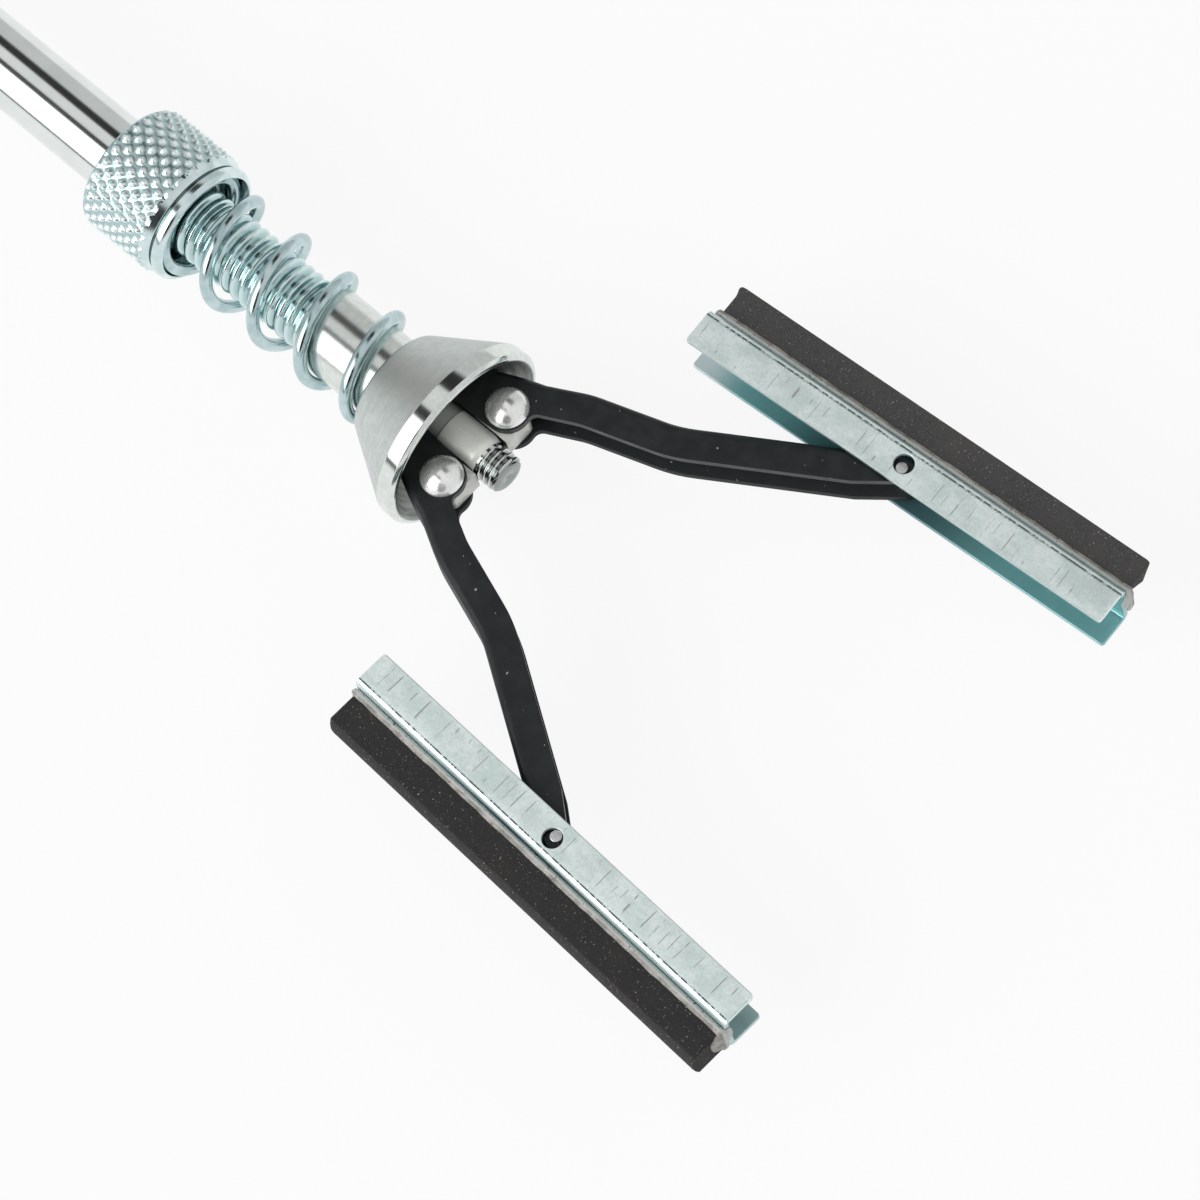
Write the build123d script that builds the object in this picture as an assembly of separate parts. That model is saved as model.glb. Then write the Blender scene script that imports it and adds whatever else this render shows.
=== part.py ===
from build123d import *
from math import atan2, cos, degrees, pi, radians, sin, tan
import os

# Cylinder hone with two stones. The tool's axis is X: the shank points to -X and the stones to +X.
# The origin is on the axis at the chuck's mouth. The arms swing in the XY plane, the left one is at +Y.
# All sizes are in millimetres and angles in degrees.

# Drive shaft, one bar turned in steps
shank_radius = 4.0
shank_grip_length = 25.0
shank_free_length = 45.7
shank_end_chamfer = 0.8
shoulder_chamfer = 0.25
thread_radius = 3.72
thread_length = 38.8
stud_radius = 2.1
stud_reach = 4.2
stud_end_round = 0.8
stud_dimple_radius = 0.55
stud_dimple_depth = 0.3

# Hub and rivets, placed from the rivet line
hub_setback = 9.7
rivet_offset = 4.65
hub_edge_margin = 1.15
hub_thickness = 3.0
hub_rear_reach = 2.2
hub_front_reach = 2.0
hub_corner_radius = 0.8
boss_radius = 2.5
boss_rear_reach = 3.45
boss_front_reach = 1.45
boss_front_round = 1.0
rivet_radius = 1.25
rivet_head_radius = 2.2
rivet_head_height = 1.5

# Knurled nut
nut_length = 10.7
nut_radius = 7.2
nut_rear_chamfer = 0.6
nut_knurl_length = 8.0
collar_length = 1.2
collar_end_radius = 6.5
lip_groove_width = 0.35
lip_groove_depth = 0.2
lip_radius = 6.65
lip_round = 0.45
recess_depth = 2.1

# Compression spring, right-handed with closed ends
wire_diameter = 1.35
spring_outer_radius = 5.85
spring_turns = 5.7
closed_turns = 0.456
ramp_turns = 0.686
spring_start_angle = 230.3
path_points_per_turn = 12
wire_sides = 8

# Thrust cup: a sleeve on the thread and a bell whose inner cone bears on the noses of the arms
cup_setback = 1.8
cone_half_angle = 36.0
mouth_radius = 9.55
lip_width = 0.8
lip_chamfer = 0.4
rim_band_length = 1.9
bell_length = 9.6
bell_seat_radius = 5.4
bell_shoulder_radius = 5.93
bell_shoulder_length = 0.3
bell_floor_radius = 4.17
sleeve_radius = 4.35
sleeve_length = 9.8
sleeve_edge_break = 0.2

# Arms, folded from sheet to a channel that is open towards the axis
arm_sheet = 0.8
arm_width = 3.44
arm_head_radius = 2.35
arm_neck_radius = 1.0
knee_reach = 5.93
knee_rise = 4.96
elbow_reach = 14.82
elbow_rise = 7.93
pin_reach = 33.77
pin_rise = 19.76
head_slope = 27.9
knee_bend_radius = 10.0
elbow_bend_radius = 15.0
head_edge_start = 1.9
head_edge_bulge = 0.25
web_rear_reach = 3.5
web_front_gap = 4.75
tip_radius = 1.12
nose_reach = 6.6
nose_swing = 24.0
nose_points = 7
heel_reach = 8.05
heel_edge_offset = 1.75
heel_corner_radius = 0.7

# Pivot pins of the stone holders
pin_radius = 0.6
pin_end_recess = 0.25
pin_end_chamfer = 0.1

# Stone holders, folded from sheet, and how far each one is turned about its pin
holder_sheet = 0.6
holder_height = 4.05
holder_length = 50.0
holder_bend_radius = 0.8
holder_rear_shift = 0.17
holder_hole_radius = 1.05
holder_hole_depth = 1.99
holder_corner_radius = 0.35
left_holder_turn = 4.31
right_holder_turn = 2.5

# Adhesive beds and stones
bed_thickness = 0.8
bed_foot_width = 5.4
bed_foot_overhang = 0.3
stone_end_gap = 0.25
stone_width = 4.4
stone_thickness = 3.6
stone_crown = 0.45
stone_shift = 0.2
stone_edge_break = 0.3

# Clearances
nut_shoulder_gap = 0.3
nut_thread_clearance = 0.05
cup_thread_clearance = 0.08
spring_recess_clearance = 0.1
spring_seat_gap = 0.075
nose_gap = 0.15
hub_side_clearance = 0.1
rivet_hole_clearance = 0.05
rivet_head_gap = 0.05
pin_holder_clearance = 0.05
holder_side_gap = 0.35

# Places along the axis
thread_start_x = shank_free_length
thread_end_x = thread_start_x + thread_length
rivet_x = thread_end_x + hub_setback
stud_end_x = rivet_x + stud_reach
nut_rear_x = thread_start_x + nut_shoulder_gap
nut_front_x = nut_rear_x + nut_length
recess_floor_x = nut_front_x - recess_depth
cup_front_x = rivet_x - cup_setback
cup_shoulder_x = cup_front_x - bell_length
sleeve_rear_x = cup_shoulder_x - sleeve_length

# Sizes that follow from the ones above
rim_radius = mouth_radius + lip_width
cone_slope = tan(radians(cone_half_angle))
bell_floor_x = cup_front_x - (mouth_radius - bell_floor_radius) / cone_slope
arm_gap = hub_thickness + 2 * hub_side_clearance
arm_depth = arm_gap + 2 * arm_sheet
holder_gap = arm_depth + 2 * holder_side_gap
holder_width = holder_gap + 2 * holder_sheet
rivet_head_z = arm_depth / 2 + rivet_head_gap
pin_half_length = holder_width / 2 - pin_end_recess
wire_radius = wire_diameter / 2
coil_radius = spring_outer_radius - wire_radius

rivet_centre = Vector(rivet_x, rivet_offset)
pin_centre = rivet_centre + Vector(pin_reach, pin_rise)
hole_shift = holder_hole_radius - pin_radius - pin_holder_clearance
holder_back_y = pin_centre.Y + hole_shift + holder_hole_depth
holder_rear_x = pin_centre.X - holder_length / 2 - holder_rear_shift
stone_length = holder_length - 2 * stone_end_gap


def turned(*outline):
    """Solid turned about the X axis from corners given as (x, radius)."""
    return revolve(make_face(Polyline(*outline, close=True)), Axis.X)


def drilled(part, radius, centre):
    """The part with a hole along Z right through it."""
    return part - Pos(centre.X, centre.Y, 0) * Cylinder(radius, 2 * holder_width)


def direction(angle):
    return Vector(cos(radians(angle)), sin(radians(angle)))


def normal(angle):
    return Vector(-sin(radians(angle)), cos(radians(angle)))


def make_drive_shaft():
    """Shank, thread at its crest diameter, and the stud that the hub sits on."""
    shank_rear_x = -shank_grip_length
    bar = turned(
        (shank_rear_x, 0),
        (shank_rear_x, shank_radius - shank_end_chamfer),
        (shank_rear_x + shank_end_chamfer, shank_radius),
        (thread_start_x - shoulder_chamfer, shank_radius),
        (thread_start_x, shank_radius - shoulder_chamfer),
        (thread_start_x, thread_radius),
        (thread_end_x, thread_radius),
        (thread_end_x, stud_radius),
        (stud_end_x, stud_radius),
        (stud_end_x, 0),
    )
    bar = fillet(bar.edges().filter_by(GeomType.CIRCLE).sort_by(Axis.X)[-1], stud_end_round)
    dimple = Pos(stud_end_x, 0, 0) * Rot(0, -90, 0) * Cone(
        stud_dimple_radius, 0, stud_dimple_depth, align=(Align.CENTER, Align.CENTER, Align.MIN))
    return bar - dimple


def make_hub():
    """Cross plate between the arms with a turned boss through its middle."""
    length = hub_rear_reach + hub_front_reach
    middle_x = rivet_x + (hub_front_reach - hub_rear_reach) / 2
    plate = Pos(middle_x, 0, 0) * Box(length, 2 * (rivet_offset + hub_edge_margin), hub_thickness)
    plate = fillet(plate.edges().filter_by(Axis.Z), hub_corner_radius)
    boss = turned(
        (rivet_x - boss_rear_reach, 0),
        (rivet_x - boss_rear_reach, boss_radius),
        (rivet_x + boss_front_reach, boss_radius),
        (rivet_x + boss_front_reach, 0),
    )
    boss = fillet(boss.edges().filter_by(GeomType.CIRCLE).sort_by(Axis.X)[-1], boss_front_round)
    hub = plate + boss - Rot(0, 90, 0) * Cylinder(stud_radius, 4 * rivet_x)
    for side in (1, -1):
        hub = drilled(hub, rivet_radius, Vector(rivet_x, side * rivet_offset))
    return hub


def make_rivet(side):
    """Shank through the arm and the hub, with a domed head at each end."""
    profile = Line((0, 0), (rivet_radius, 0))
    profile += Line((rivet_radius, 0), (rivet_radius, rivet_head_z))
    profile += Line((rivet_radius, rivet_head_z), (rivet_head_radius, rivet_head_z))
    sphere_radius = (rivet_head_radius**2 + rivet_head_height**2) / (2 * rivet_head_height)
    top = (0, rivet_head_z + rivet_head_height)
    profile += RadiusArc((rivet_head_radius, rivet_head_z), top, -sphere_radius)
    profile += Line(top, (0, 0))
    half = revolve(Plane.XZ * make_face(profile), Axis.Z)
    whole = half + mirror(half, Plane.XY)
    return Pos(rivet_x, side * rivet_offset, 0) * whole


def make_knurled_nut():
    """Adjusting nut: grip, sloping collar, shallow groove and lip, with a recess for the spring."""
    knurl_end_x = nut_rear_x + nut_knurl_length
    collar_end_x = knurl_end_x + collar_length
    groove_radius = collar_end_radius - lip_groove_depth
    recess_radius = spring_outer_radius + spring_recess_clearance
    bore_radius = thread_radius + nut_thread_clearance
    return turned(
        (nut_rear_x, bore_radius),
        (nut_rear_x, nut_radius - nut_rear_chamfer),
        (nut_rear_x + nut_rear_chamfer, nut_radius),
        (knurl_end_x, nut_radius),
        (collar_end_x, collar_end_radius),
        (collar_end_x, groove_radius),
        (collar_end_x + lip_groove_width, groove_radius),
        (collar_end_x + lip_groove_width, lip_radius),
        (nut_front_x - lip_round, lip_radius),
        (nut_front_x, lip_radius - lip_round),
        (nut_front_x, recess_radius),
        (recess_floor_x, recess_radius),
        (recess_floor_x, bore_radius),
    )


def spring_advance(turn):
    """Share of the spring's span that the wire has gained after so many turns from its rear end.

    The pitch is nothing on the closed ends, rises evenly along a ramp, and is even in between.
    """
    full = spring_turns - 2 * closed_turns - ramp_turns
    after = min(max(turn - closed_turns, 0), spring_turns - 2 * closed_turns)
    before_end = spring_turns - 2 * closed_turns - after
    if after < ramp_turns:
        return after**2 / (2 * ramp_turns) / full
    if before_end < ramp_turns:
        return 1 - before_end**2 / (2 * ramp_turns) / full
    return (after - ramp_turns / 2) / full


def make_compression_spring():
    """Wire swept along its helix, from the nut's recess to the cup's shoulder.

    The round wire is drawn with few flat sides, because its many turns would need too many facets.
    """
    rear_x = recess_floor_x + spring_seat_gap + wire_radius
    front_x = cup_shoulder_x - spring_seat_gap - wire_radius
    count = round(spring_turns * path_points_per_turn)
    points = []
    for i in range(count + 1):
        turn = spring_turns * i / count
        angle = radians(spring_start_angle) + 2 * pi * turn
        x = rear_x + (front_x - rear_x) * spring_advance(turn)
        points.append(Vector(x, coil_radius * cos(angle), coil_radius * sin(angle)))
    path = Spline(*points)
    section = Plane(points[0], z_dir=path % 0) * RegularPolygon(wire_radius, wire_sides)
    return sweep(section, path=path)


def make_thrust_cup():
    """Sleeve and bell in one piece, bored over the thread and conical inside and outside the bell."""
    bore_radius = thread_radius + cup_thread_clearance
    return turned(
        (cup_front_x - rim_band_length, rim_radius),
        (cup_front_x - lip_chamfer, rim_radius),
        (cup_front_x, rim_radius - lip_chamfer),
        (cup_front_x, mouth_radius),
        (bell_floor_x, bell_floor_radius),
        (bell_floor_x, bore_radius),
        (sleeve_rear_x, bore_radius),
        (sleeve_rear_x, sleeve_radius - sleeve_edge_break),
        (sleeve_rear_x + sleeve_edge_break, sleeve_radius),
        (cup_shoulder_x, sleeve_radius),
        (cup_shoulder_x, bell_seat_radius),
        (cup_shoulder_x + bell_shoulder_length, bell_shoulder_radius),
    )


def corner_offsets(points, slopes, distance):
    """Corners of the line at one side of a path whose runs have the given slopes."""
    corners = [points[0] + normal(slopes[0]) * distance]
    for i in range(1, len(slopes)):
        half_turn = radians(slopes[i] - slopes[i - 1]) / 2
        middle = (slopes[i] + slopes[i - 1]) / 2
        corners.append(points[i] + normal(middle) * (distance / cos(half_turn)))
    corners.append(points[-1] + normal(slopes[-1]) * distance)
    return corners


def slope_between(start, end):
    return degrees(atan2(end.Y - start.Y, end.X - start.X))


knee = rivet_centre + Vector(knee_reach, knee_rise)
elbow = rivet_centre + Vector(elbow_reach, elbow_rise)
middle_slope = slope_between(knee, elbow)
tip_slope = slope_between(elbow, pin_centre)
arm_slopes = (head_slope, middle_slope, tip_slope)
head_start = knee - direction(head_slope) * ((knee_reach - head_edge_start) / cos(radians(head_slope)))
taper_start = pin_centre - direction(tip_slope) * web_front_gap
arm_path = (head_start, knee, elbow, taper_start)


def arm_edge(distance, start=None):
    """Line beside the arm's centreline, bent at the knee and the elbow."""
    corners = corner_offsets(arm_path, arm_slopes, distance)
    if start is not None:
        corners[0] = start
    return FilletPolyline(*corners, radius=[knee_bend_radius + distance, elbow_bend_radius - distance])


def head_edge(start, end):
    """Slightly bulging line over the arm's head, from the long edge to the nose."""
    return SagittaArc(start, end, -head_edge_bulge)


def nose_point(swing):
    """Place on the nose, with the arm at rest, that bears on the cone when the arm is closed by swing.

    It is the involute of the circle about the rivet whose radius is the rivet's lever to the cone,
    so the cup moves in proportion to the swing. The noses are flat ears, whose outer corners are
    nearer the cone than their middle, so the line they follow lies inside the cone by that drop.
    """
    along = direction(cone_half_angle)
    inward = -normal(cone_half_angle)
    contact_x = -nose_reach
    cone_radius = mouth_radius + (contact_x + cup_setback) * cone_slope
    corner_drop = cone_radius - (cone_radius**2 - (arm_depth / 2)**2)**0.5
    contact_y = cone_radius - corner_drop - nose_gap / cos(radians(cone_half_angle)) - rivet_offset
    contact = Vector(contact_x, contact_y)
    lever = -contact.dot(along)
    rise = -contact.dot(inward)
    place = -along * lever - inward * (rise + lever * radians(swing))
    return rivet_centre + place.rotate(Axis.Z, swing)


def arm_outline():
    """Side view of the left arm: nose, heel, round head, two bends and the tapered tip."""
    nose = Spline(*[nose_point(nose_swing * i / (nose_points - 1)) for i in range(nose_points)])
    heel_corner = Vector(rivet_x - heel_reach, heel_edge_offset)
    head_bottom = rivet_centre - Vector(0, arm_head_radius)
    neck = rivet_centre + direction(head_slope) * arm_head_radius
    outer = arm_edge(arm_width / 2)
    inner = arm_edge(-arm_width / 2, start=neck)
    tip_outer = pin_centre + normal(tip_slope) * tip_radius
    tip_inner = pin_centre - normal(tip_slope) * tip_radius
    tip_end = pin_centre + direction(tip_slope) * tip_radius
    outline = nose
    outline += Line(nose @ 1, heel_corner)
    outline += Line(heel_corner, head_bottom)
    outline += ThreePointArc(head_bottom, rivet_centre + direction(head_slope / 2 - 45) * arm_head_radius, neck)
    outline += inner
    outline += Line(inner @ 1, tip_inner)
    outline += ThreePointArc(tip_inner, tip_end, tip_outer)
    outline += Line(tip_outer, outer @ 1)
    outline += outer
    outline += head_edge(outer @ 0, nose @ 0)
    face = make_face(outline)
    face = fillet(nearest_vertex(face, heel_corner), heel_corner_radius)
    return fillet(nearest_vertex(face, neck), arm_neck_radius)


def nearest_vertex(face, place):
    return face.vertices().sort_by_distance(place)[0]


def arm_region(edge_distance):
    """Area from the arm's back edge inwards, between the ends of the back of its channel."""
    long_edge = arm_edge(edge_distance)
    over_head = head_edge(long_edge @ 0, nose_point(0) + normal(head_slope) * (edge_distance - arm_width / 2))
    inward = -normal(head_slope) * 4 * arm_width
    area = over_head + long_edge
    area += Polyline(long_edge @ 1, (long_edge @ 1) + inward, (over_head @ 1) + inward, over_head @ 1)
    behind_web = Pos(rivet_x - web_rear_reach - pin_reach, 0) * Rectangle(2 * pin_reach, 4 * pin_reach)
    return make_face(area) - behind_web


def make_left_arm():
    """Channel with a rounded back, whose two sides run on as ears at the heel and at the pin."""
    outline = arm_outline()
    region = arm_region(arm_width / 2)
    channel = extrude(outline & region, arm_depth / 2, both=True)
    back_edge = arm_edge(arm_width / 2)
    back_line = back_edge + head_edge(back_edge @ 0, nose_point(0))
    bends = []
    for edge in channel.edges().filter_by(Axis.Z, reverse=True):
        middle = edge @ 0.5
        if Vertex(middle.X, middle.Y, 0).distance_to(back_line) < arm_sheet / 10:
            bends.append(edge)
    channel = fillet(bends, arm_sheet)
    channel -= extrude(arm_region(arm_width / 2 - arm_sheet), arm_gap / 2, both=True)
    ear = Pos(0, 0, arm_gap / 2) * extrude(outline - region, arm_sheet)
    arm = channel + ear + mirror(ear, Plane.XY)
    arm = drilled(arm, rivet_radius + rivet_hole_clearance, rivet_centre)
    return drilled(arm, pin_radius, pin_centre)


def make_left_pivot_pin():
    pin = Cylinder(pin_radius, 2 * pin_half_length)
    pin = chamfer(pin.edges(), pin_end_chamfer)
    return Pos(pin_centre.X, pin_centre.Y, 0) * pin


def turned_about_pin(part, angle):
    """The part turned in the XY plane about the left pin."""
    to_pin = Pos(pin_centre.X, pin_centre.Y, 0)
    return to_pin * Rot(0, 0, angle) * to_pin.inverse() * part


def make_stone_holder():
    """Straight channel over the arm's tip, open towards the axis, with a hole through both sides."""
    middle_x = holder_rear_x + holder_length / 2
    outside = Pos(middle_x, holder_back_y - holder_height / 2, 0) * Box(holder_length, holder_height, holder_width)
    bends = outside.edges().filter_by(Axis.X).group_by(Axis.Y)[-1]
    outside = fillet(bends, holder_bend_radius)
    corners = outside.edges().filter_by(Axis.Z).group_by(Axis.Y)[0]
    outside = fillet(corners, holder_corner_radius)
    inside_y = holder_back_y - holder_sheet
    inside = Pos(middle_x, inside_y - holder_height / 2, 0) * Box(2 * holder_length, holder_height, holder_gap)
    inner_bends = inside.edges().filter_by(Axis.X).group_by(Axis.Y)[-1]
    inside = fillet(inner_bends, holder_bend_radius - holder_sheet)
    hole_centre = Vector(pin_centre.X, holder_back_y - holder_hole_depth)
    return drilled(outside - inside, holder_hole_radius, hole_centre)


def make_adhesive_bed():
    """Strip of adhesive with sloping sides between the holder's back and the stone."""
    foot = stone_length / 2 + bed_foot_overhang
    middle_x = holder_rear_x + holder_length / 2 + stone_shift
    section = make_face(Polyline(
        (holder_back_y, bed_foot_width / 2),
        (holder_back_y, -bed_foot_width / 2),
        (holder_back_y + bed_thickness, -stone_width / 2),
        (holder_back_y + bed_thickness, stone_width / 2),
        close=True,
    ))
    return Pos(middle_x, 0, 0) * extrude(Plane.YZ * section, foot, both=True)


def make_stone():
    """Straight abrasive stick whose working face is crowned across its width."""
    middle_x = holder_rear_x + holder_length / 2 + stone_shift
    foot_y = holder_back_y + bed_thickness
    face_edge_y = foot_y + stone_thickness - stone_crown
    section = Polyline(
        (face_edge_y, -stone_width / 2),
        (foot_y, -stone_width / 2),
        (foot_y, stone_width / 2),
        (face_edge_y, stone_width / 2),
    )
    section += ThreePointArc(
        (face_edge_y, stone_width / 2),
        (foot_y + stone_thickness, 0),
        (face_edge_y, -stone_width / 2),
    )
    stick = extrude(Plane.YZ * make_face(section), stone_length / 2, both=True)
    ends = stick.faces().filter_by(Axis.X)
    outer_edges = [edge for face in ends for edge in face.edges() if edge.center().Y > foot_y + stone_crown]
    return Pos(middle_x, 0, 0) * chamfer(outer_edges, stone_edge_break)


def mirrored(part):
    """The same piece for the right side, at -Y."""
    return mirror(part, Plane.XZ)


def build():
    left_arm = make_left_arm()
    left_pin = make_left_pivot_pin()
    pieces = {
        "drive_shaft": make_drive_shaft(),
        "hub": make_hub(),
        "left_rivet": make_rivet(1),
        "right_rivet": make_rivet(-1),
        "knurled_nut": make_knurled_nut(),
        "compression_spring": make_compression_spring(),
        "thrust_cup": make_thrust_cup(),
        "left_arm": left_arm,
        "right_arm": mirrored(left_arm),
        "left_pivot_pin": left_pin,
        "right_pivot_pin": mirrored(left_pin),
    }
    carried = {
        "stone_holder": make_stone_holder(),
        "adhesive_bed": make_adhesive_bed(),
        "stone": make_stone(),
    }
    for name, part in carried.items():
        pieces["left_" + name] = turned_about_pin(part, left_holder_turn)
        pieces["right_" + name] = mirrored(turned_about_pin(part, right_holder_turn))
    return pieces


os.makedirs("parts", exist_ok=True)
for name, part in build().items():
    export_step(part, f"parts/{name}.step")
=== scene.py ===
import bmesh
import bpy
import numpy as np
from mathutils import Matrix, Vector


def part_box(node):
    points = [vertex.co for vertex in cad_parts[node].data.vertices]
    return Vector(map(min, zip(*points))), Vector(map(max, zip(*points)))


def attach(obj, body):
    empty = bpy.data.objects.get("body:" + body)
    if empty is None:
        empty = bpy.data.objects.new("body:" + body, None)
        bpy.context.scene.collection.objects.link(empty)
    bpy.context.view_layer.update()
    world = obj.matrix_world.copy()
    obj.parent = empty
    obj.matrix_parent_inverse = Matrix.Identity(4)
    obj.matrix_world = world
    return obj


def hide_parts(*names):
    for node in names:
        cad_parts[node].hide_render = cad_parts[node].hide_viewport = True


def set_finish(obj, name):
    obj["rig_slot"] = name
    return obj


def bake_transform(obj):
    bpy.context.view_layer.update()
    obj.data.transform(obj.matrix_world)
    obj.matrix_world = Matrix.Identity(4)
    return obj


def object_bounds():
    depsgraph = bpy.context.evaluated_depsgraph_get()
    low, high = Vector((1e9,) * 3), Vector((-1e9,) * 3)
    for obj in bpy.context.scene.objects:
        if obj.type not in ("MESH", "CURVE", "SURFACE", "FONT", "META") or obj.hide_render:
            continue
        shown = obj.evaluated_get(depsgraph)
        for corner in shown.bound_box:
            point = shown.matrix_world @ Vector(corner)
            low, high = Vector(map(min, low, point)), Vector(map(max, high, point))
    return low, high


# The looks of a cylinder hone with two stones. The tool's axis is X, the arms swing in the XY plane and
# the rivets and pins stand along Z. Lengths are in millimetres, and a mesh is scaled to metres when made.

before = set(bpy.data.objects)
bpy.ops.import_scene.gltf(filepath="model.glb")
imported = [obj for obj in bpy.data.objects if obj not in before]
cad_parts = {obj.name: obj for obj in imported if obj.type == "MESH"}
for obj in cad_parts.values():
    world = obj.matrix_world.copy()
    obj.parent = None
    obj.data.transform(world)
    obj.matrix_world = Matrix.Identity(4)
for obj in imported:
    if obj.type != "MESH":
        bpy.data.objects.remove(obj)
cad_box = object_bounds()
MM = 0.001

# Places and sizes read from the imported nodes


def span(node, axis):
    """Lowest and highest coordinate of a node along an axis, in millimetres."""
    low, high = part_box(node)
    return low[axis] / MM, high[axis] / MM


shaft_start, shaft_end = span("drive_shaft", 0)
nut_start, nut_end = span("knurled_nut", 0)
cup_start, cup_front = span("thrust_cup", 0)
spring_start, spring_end = span("compression_spring", 0)
shank_radius = span("drive_shaft", 2)[1]
nut_radius = span("knurled_nut", 2)[1]
rim_radius = span("thrust_cup", 2)[1]
coil_outer_radius = span("compression_spring", 2)[1]
rivet_low, rivet_high = span("left_rivet", 0)
rivet_x = (rivet_low + rivet_high) / 2
rivet_y = sum(span("left_rivet", 1)) / 2
rivet_top = span("left_rivet", 2)[1]
rivet_head_radius = (rivet_high - rivet_low) / 2
rivet_head_height = 1.5
pin_low, pin_high = span("left_pivot_pin", 0)
pin_x = (pin_low + pin_high) / 2
pin_y = sum(span("left_pivot_pin", 1)) / 2
pin_top = span("left_pivot_pin", 2)[1]
pin_radius = (pin_high - pin_low) / 2

# Shaft
shank_chamfer = 0.8
shank_round = 0.15
thread_start = nut_start - 0.3
thread_length = 38.8
thread_end = thread_start + thread_length
thread_crest = 3.72
thread_pitch = 1.25
thread_depth = 0.45
stud_radius = 2.1
stud_round = 0.8
stud_edge_round = 0.08
neck_radius = 2.3
neck_gap = 0.12
stud_thread_start = rivet_x + 1.5
stud_pitch = 0.7
stud_depth = 0.36
stud_run_out = 0.2
dimple_radius = 0.55
dimple_depth = 0.3

# Nut
knurl_length = 8.0
knurl_end = nut_start + knurl_length
knurl_count = 29
knurl_lead = 1.86
knurl_depth = 0.4
nut_chamfer = 0.6
collar_length = 1.2
collar_end = knurl_end + collar_length
collar_radius = 6.5
lip_groove_width = 0.35
lip_groove_depth = 0.2
lip_radius = 6.65
lip_round = 0.45
recess_radius = coil_outer_radius + 0.1
recess_depth = 2.1
recess_floor = nut_end - recess_depth
nut_bore = thread_crest + 0.05

# Spring
wire_radius = 0.675
spring_turns = 5.244
closed_turns = 0.456
ramp_turns = 0.686
spring_angle = 230.3
split_share = 0.6

# Cup
bell_length = 9.6
shoulder_x = cup_front - bell_length
sleeve_radius = 4.35
seat_radius = 5.4
shoulder_radius = 5.93
shoulder_length = 0.3
rim_band = 1.9
band_x = cup_front - rim_band
lip_chamfer = 0.4
mouth_radius = 9.55
floor_radius = 4.17
cone_slope = np.tan(np.radians(36))
cup_bore = thread_crest + 0.08

# Hub, as distances from the line of the rivets
boss_radius = 2.5
boss_rear = 3.45
boss_front = 1.45
boss_round = 1.0
boss_rear_round = 0.12
plate_rear = 2.2
plate_front = 2.0
plate_inner = 2.14
plate_outer = 5.8
plate_half = 1.5
plate_corner = 0.8
plate_inner_round = 0.05
plate_ease = 0.15

# Holder, adhesive and stone, before the turn about the pin
holder_top = span("left_stone_holder", 2)[1]
holder_back = 2.39
holder_front = 24.83
holder_middle = -0.17
holder_turn = {"left": 4.31, "right": 2.5}
bed_thickness = 0.8
bed_overhang = 0.3
bed_top = holder_back + bed_thickness
stone_length = 49.5
stone_width = 4.4
stone_thickness = 3.6
stone_crown = 0.45
stone_shift = 0.2

# Mesh helpers

# Distance in metres within which points are merged, and the largest random phase of a wave
merge_distance = 1e-7
widest_phase = 6.28


def grid_quads(rows, columns):
    """Corner numbers of the quads of a grid of points that is stored row by row."""
    corner = np.arange(rows * columns).reshape(rows, columns)
    corners = (corner[:-1, :-1], corner[:-1, 1:], corner[1:, 1:], corner[1:, :-1])
    return np.stack([c.ravel() for c in corners], axis=1)


def make_piece(name, surfaces, body, slot, nodes=(), crease=35):
    """One closed mesh from grids of points: shared edges are merged and faces are turned outwards."""
    points = np.concatenate([s.reshape(-1, 3) for s in surfaces])
    starts = np.cumsum([0] + [s.shape[0] * s.shape[1] for s in surfaces[:-1]])
    quads = np.concatenate([grid_quads(*s.shape[:2]) + start for s, start in zip(surfaces, starts)])
    mesh = bpy.data.meshes.new(name)
    mesh.from_pydata((points * MM).tolist(), [], quads.tolist())
    work = bmesh.new()
    work.from_mesh(mesh)
    bmesh.ops.remove_doubles(work, verts=work.verts, dist=merge_distance)
    bmesh.ops.dissolve_degenerate(work, edges=work.edges, dist=merge_distance)
    bmesh.ops.recalc_face_normals(work, faces=work.faces)
    shade_and_keep(work, mesh, crease)
    return place_piece(name, mesh, body, slot, nodes)


def shade_and_keep(work, mesh, crease):
    """Shades the faces smooth up to the crease angle, in degrees, and writes them to the mesh."""
    sharp_from = float(np.radians(crease))
    for face in work.faces:
        face.smooth = True
    for edge in work.edges:
        edge.smooth = not edge.is_manifold or edge.calc_face_angle(0) < sharp_from
    work.to_mesh(mesh)
    work.free()


def place_piece(name, mesh, body, slot, nodes):
    """Puts a mesh into the scene on its body, with its slot and the nodes that it replaces."""
    piece = bpy.data.objects.new(name, mesh)
    bpy.context.scene.collection.objects.link(piece)
    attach(piece, body)
    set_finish(piece, slot)
    if nodes:
        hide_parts(*nodes)
    return piece


def softened(corners, rounds, steps=5):
    """Line through the corners, each one cut back by its round and joined by a parabola."""
    most_of_side = 0.49
    corners = np.array(corners, float)
    rounds = np.broadcast_to(rounds, len(corners))[1:-1, None]
    before = corners[:-2] - corners[1:-1]
    after = corners[2:] - corners[1:-1]
    reach_before = np.linalg.norm(before, axis=1, keepdims=True)
    reach_after = np.linalg.norm(after, axis=1, keepdims=True)
    back = np.minimum(rounds, most_of_side * np.minimum(reach_before, reach_after))
    start = corners[1:-1] + before / reach_before * back
    end = corners[1:-1] + after / reach_after * back
    t = np.linspace(0, 1, steps + 1)[None, :, None]
    bends = (1 - t)**2 * start[:, None] + 2 * t * (1 - t) * corners[1:-1][:, None] + t**2 * end[:, None]
    return np.concatenate([corners[:1], bends.reshape(-1, 2), corners[-1:]])


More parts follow.
